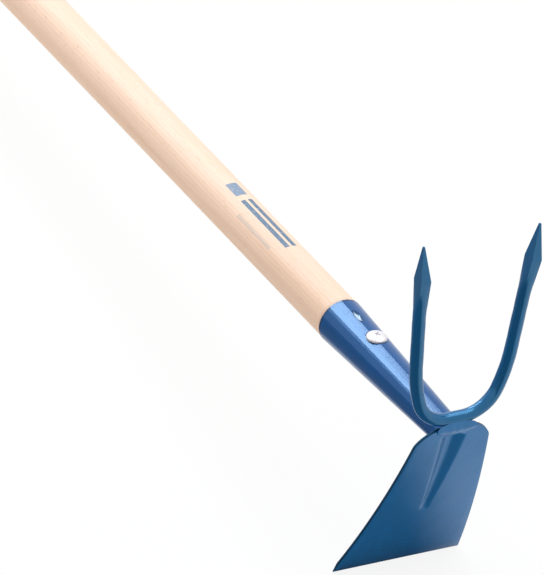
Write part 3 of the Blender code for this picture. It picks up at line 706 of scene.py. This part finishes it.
def bead_ring(x, above):
    """Section (y, z) of the front bead at x: against the bar, against the blade, then outside."""
    centre_z, turn = bar_at(x)
    up = (BAR_DIAMETER / 2) / math.cos(turn) - BEAD_SINK
    out = BAR_DIAMETER / 2 - BEAD_SINK
    ring = []
    for angle in BEAD_CONTACT_DEGREES:
        a = math.radians(angle)
        ring.append((FORK_FOOT_Y + out * math.cos(a), centre_z + up * math.sin(a)))
    for t in (-above, (BEAD_FOOT - above) / 2, BEAD_FOOT):
        ring.append(blade_point(t, -(BEAD_SINK + groove_depth_at(x, t))))
    wave = BEAD_WAVE * (math.sin(BEAD_WAVE_TURNS * x + BEAD_DRIFT * math.sin(BEAD_DRIFT_TURNS * x)) - 1.0)
    for k in range(1, BEAD_PROFILE_STEPS + 1):
        share = k / BEAD_PROFILE_STEPS
        t = BEAD_FOOT + (-above - BEAD_FOOT) * share
        thickness = (BEAD_THICKNESS + wave) * (1 - (1 - share) ** BEAD_PROFILE_POWER)
        ring.append(blade_point(t, thickness - groove_depth_at(x, t) * (1 - share)))
    return ring


def make_front_bead(material):
    """Bead that joins the bar to the blade's outer face, sunk a little into both."""
    above = blade_height_above()
    root_y, root_z = blade_point(-above, BEAD_THICKNESS * BEAD_ROOT)
    bm = bmesh.new()
    rows = []
    for i in range(BEAD_STEPS + 1):
        x = BEAD_HALF_LENGTH * (2 * i / BEAD_STEPS - 1)
        reach = abs(x) / BEAD_HALF_LENGTH
        shrink = max(BEAD_END_SHRINK, math.sqrt(max(0.0, 1 - reach ** BEAD_END_POWER)))
        rows.append([bm.verts.new((x, root_y + (y - root_y) * shrink, root_z + (z - root_z) * shrink))
                     for y, z in bead_ring(x, above)])
    bridge(bm, rows)
    add_piece("weld_front_detail", bm, material, "weld_front", BEAD_SMOOTH_DEGREES)


def assign(node, material):
    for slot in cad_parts[node].material_slots:
        slot.material = material


FLOOR_HALF_SIZE = 12.0
FLOOR_DROP = 0.0002
FLOOR_COLOUR = (0.90, 0.89, 0.87, 1.0)
# Share of the floor's look that is plain white for the camera, and plain light for reflections
FLOOR_WHITE_CAMERA = 0.88
FLOOR_PLAIN_REFLECTED = 0.97
# Painted shade and painted light seen only in reflections: the floor's glow goes from dim on the tool's
# left, standing for shade there, to white on its right
REFLECTED_DIM = 0.06
REFLECTED_BRIGHT = 1.0
REFLECTED_FROM_X = 0.012
REFLECTED_TO_X = 0.070
# From the head backward that change lies further to the left, and the dim part is less dim
REFLECTED_SHIFT = 0.085
REFLECTED_SHIFT_Y = (-0.64, -0.52)
REFLECTED_BACK = 0.25
REFLECTED_BACK_Y = (-0.60, -0.50)


def make_floor():
    bm = bmesh.new()
    bmesh.ops.create_grid(bm, x_segments=1, y_segments=1, size=FLOOR_HALF_SIZE)
    mesh = bpy.data.meshes.new("floor")
    bm.to_mesh(mesh)
    bm.free()
    floor = bpy.data.objects.new("floor", mesh)
    scene.collection.objects.link(floor)
    floor.location.z = -FLOOR_DROP
    material, s = new_material("floor_white")
    camera, mirrored = s.rays()
    reflected = s.math("MULTIPLY", mirrored, FLOOR_PLAIN_REFLECTED)
    seen = s.math("MULTIPLY", camera, FLOOR_WHITE_CAMERA)
    place = s.separate(s.add("ShaderNodeTexCoord").outputs["Object"])
    # The floor's glow in reflections is painted shade on the left and painted light on the right
    shifted = s.math("ADD", place["X"], s.ramp(place["Y"], *REFLECTED_SHIFT_Y, 0.0, REFLECTED_SHIFT))
    across = s.ramp(shifted, REFLECTED_FROM_X, REFLECTED_TO_X, REFLECTED_DIM, REFLECTED_BRIGHT, True)
    across = s.math("MAXIMUM", across, s.ramp(place["Y"], *REFLECTED_BACK_Y, 0.0, REFLECTED_BACK))
    diffuse = s.add("ShaderNodeBsdfDiffuse")
    diffuse.inputs["Color"].default_value = FLOOR_COLOUR
    emission = s.add("ShaderNodeEmission")
    s.link(s.math("ADD", s.math("MULTIPLY", mirrored, across), camera), emission.inputs["Strength"])
    mixed = s.add("ShaderNodeMixShader")
    s.link(s.math("MAXIMUM", reflected, seen), mixed.inputs[0])
    s.link(diffuse.outputs[0], mixed.inputs[1])
    s.link(emission.outputs[0], mixed.inputs[2])
    s.finish(mixed)
    mesh.materials.append(material)


# World strength and colour for plain light; the camera and reflections see white
WORLD_LIGHT = 0.48
WORLD_COLOUR = (1.0, 0.92, 0.79, 1.0)
WHITE = (1.0, 1.0, 1.0, 1.0)


def make_world():
    scene.world = bpy.data.worlds.new("world")
    s = Shader(scene.world)
    white = s.math("MAXIMUM", *s.rays())
    background = s.add("ShaderNodeBackground")
    s.link(s.ramp(white, 0.0, 1.0, WORLD_LIGHT, 1.0), background.inputs["Strength"])
    s.link(s.mix(white, WORLD_COLOUR, WHITE), background.inputs["Color"])
    s.finish(background, "ShaderNodeOutputWorld")


# Soft lamps: direction from the head, width, height and power
LAMP_DISTANCE = 2.2
LAMP_COLOUR = (0.79, 0.88, 1.0)
# The long one behind the tool gives the socket its bright strip
BACK_LAMP = ((-0.11, 0.75, 0.62), 1.8, 0.5, 29.0)
TOP_LAMP = ((0.35, 0.1, 1.0), 1.6, 1.6, 28.0)


def add_lamp(name, direction, width, height, power):
    data = bpy.data.lights.new(name, "AREA")
    data.shape = "RECTANGLE"
    data.size = width
    data.size_y = height
    data.energy = power
    data.color = LAMP_COLOUR
    lamp = bpy.data.objects.new(name, data)
    scene.collection.objects.link(lamp)
    away = Vector(direction).normalized()
    lamp.location = HEAD_ORIGIN + away * LAMP_DISTANCE
    lamp.rotation_euler = away.to_track_quat("Z", "Y").to_euler()


# The main and the deep blue of each paint; the blade's blues, also used on the front bead, are a lighter
# copy of the same blue paint, painted light on the blade's face
SOCKET_BLUES = ((0.001, 0.076, 0.268, 1.0), (0.001, 0.062, 0.224, 1.0))
FORK_BLUES = ((0.001, 0.094, 0.268, 1.0), (0.001, 0.077, 0.224, 1.0))
BLADE_LIT_BLUES = ((0.001, 0.155, 0.425, 1.0), (0.001, 0.130, 0.360, 1.0))
# The rim's blues are a darker copy of the paint, painted shade on the blade's sheared rim
RIM_SHADE_BLUES = ((0.001, 0.050, 0.130, 1.0), (0.001, 0.036, 0.095, 1.0))
SOCKET_TINT = (0.44, 0.70, 1.0, 1.0)
BLADE_TINT = (0.38, 0.62, 1.0, 1.0)

scene.view_settings.view_transform = "Standard"
make_camera()
make_floor()
make_world()
add_lamp("back_softbox", *BACK_LAMP)
add_lamp("top_softbox", *TOP_LAMP)
assign("handle", make_wood())
assign("socket", make_paint("socket_look", SOCKET_BLUES, 0.18, gloss=0.42, tint=SOCKET_TINT, ripple=0.10,
                            dents=(0.00008, 60.0), with_nick=True))
assign("weld_back", make_paint("weld_back_look", FORK_BLUES, 0.32))
# Painted light: the blade and the front bead take the lighter copy of the blue paint
make_blade(make_paint("blade_look", BLADE_LIT_BLUES, 0.27, tint=BLADE_TINT, dents=(0.0012, 32.0)),
           make_paint("blade_rim_shade_look", RIM_SHADE_BLUES, 0.36, gloss=0.2))
make_fork(make_paint("fork_look", FORK_BLUES, 0.22, ripple=0.15))
make_front_bead(make_paint("weld_front_look", BLADE_LIT_BLUES, 0.30, tint=BLADE_TINT, ripple=0.2))
assign("handle_screw", make_zinc())

bpy.context.view_layer.update()
